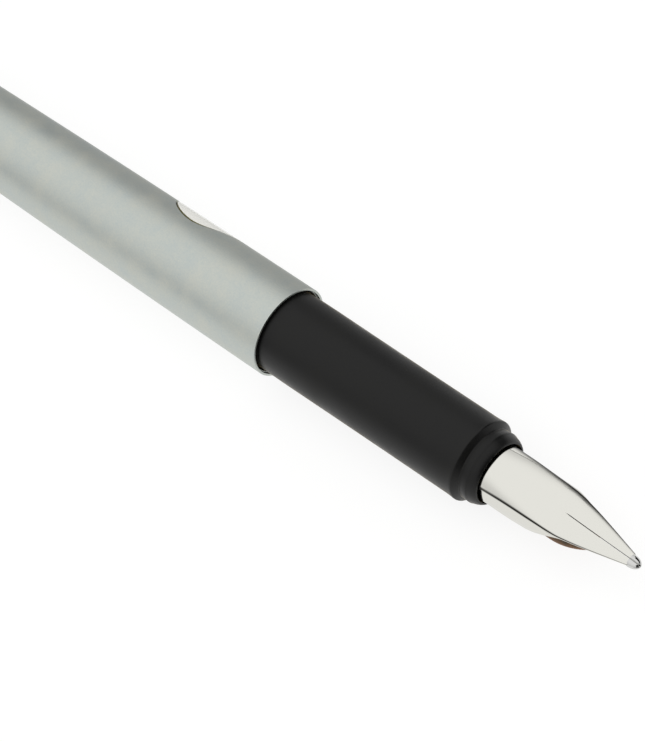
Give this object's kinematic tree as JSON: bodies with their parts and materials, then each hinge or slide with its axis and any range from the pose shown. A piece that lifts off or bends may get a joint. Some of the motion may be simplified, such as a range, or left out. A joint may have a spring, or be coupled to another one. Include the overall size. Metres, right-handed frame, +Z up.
{
  "type": "fountain pen",
  "caption": "Slim metal fountain pen for drawing and writing: tapered barrel with an ink window, black grip, steel nib over a finned feed, piston converter, and a posted cap with a clip.",
  "frame": {"origin": "on the ground under the middle of the pen as it lies, cap posted", "axes": "+X along the pen towards the nib, +Z up from the nib's upper face, +Y to the side of the ink window"},
  "size_m": [0.1718, 0.014, 0.0116],
  "materials": {
    "anodised_shell": "fine bead-blasted and anodised, matt silver grey",
    "window_acrylic": "clear moulded acrylic, polished outside",
    "grip_plastic": "moulded black ABS, satin",
    "brass": "turned",
    "seal_rubber": "moulded",
    "nib_steel": "stamped stainless steel, polished",
    "tipping_alloy": "ground and polished hard alloy",
    "feed_plastic": "moulded ABS, ink stained",
    "converter_clear": "clear moulded tube",
    "converter_black": "moulded black plastic",
    "bright_plated": "nickel plated, brushed",
    "white_plastic": "moulded, natural white"
  },
  "bodies": {
    "section": {"grip_section": "grip_plastic", "section_thread_collar": "brass", "joint_seal": "seal_rubber", "ink_nipple": "grip_plastic", "nib": "nib_steel", "nib_tip": "tipping_alloy", "feed": "feed_plastic"},
    "barrel": {"barrel_tube": "anodised_shell", "ink_window": "window_acrylic", "barrel_thread_insert": "brass", "barrel_end_plug": "anodised_shell"},
    "converter": {"converter_tube": "converter_clear", "converter_mouth": "converter_black", "converter_ring": "bright_plated", "piston_nut": "white_plastic"},
    "knob": {"filler_knob": "converter_black"},
    "piston": {"piston_seal": "seal_rubber", "piston_rod": "white_plastic"},
    "cap": {"cap_tube": "anodised_shell", "inner_cap": "white_plastic", "cap_finial": "anodised_shell", "cap_screw": "bright_plated"},
    "clip": {"clip": "bright_plated"}
  },
  "joints": [
    {"name": "barrel_pull", "type": "slide", "parent": "section", "child": "barrel", "axis": [-1, 0, 0], "range_m": [0, 0.085]},
    {"name": "cap_pull", "type": "slide", "parent": "barrel", "child": "cap", "axis": [-1, 0, 0], "range_m": [0, 0.04]},
    {"name": "clip_flex", "type": "hinge", "parent": "cap", "child": "clip", "pos_m": [-0.08225, -0.00366, 0.00295], "axis": [0, 0.5032, -0.8642], "range_deg": [0, 4], "stiffness_Nm_per_rad": 0.9},
    {"name": "converter_pull", "type": "slide", "parent": "section", "child": "converter", "axis": [-1, 0, 0], "range_m": [0, 0.012]},
    {"name": "knob_turn", "type": "hinge", "parent": "converter", "child": "knob", "pos_m": [-0.01209, 0.00119, 0.00578], "axis": [1, 0, 0], "range_deg": [0, 1440]},
    {"name": "piston_slide", "type": "slide", "parent": "converter", "child": "piston", "axis": [-1, 0, 0], "range_m": [0, 0.018]}
  ],
  "couplings": [
    {"joint": "knob_turn", "follows": "piston_slide", "rad_per_m": 1396.3}
  ]
}
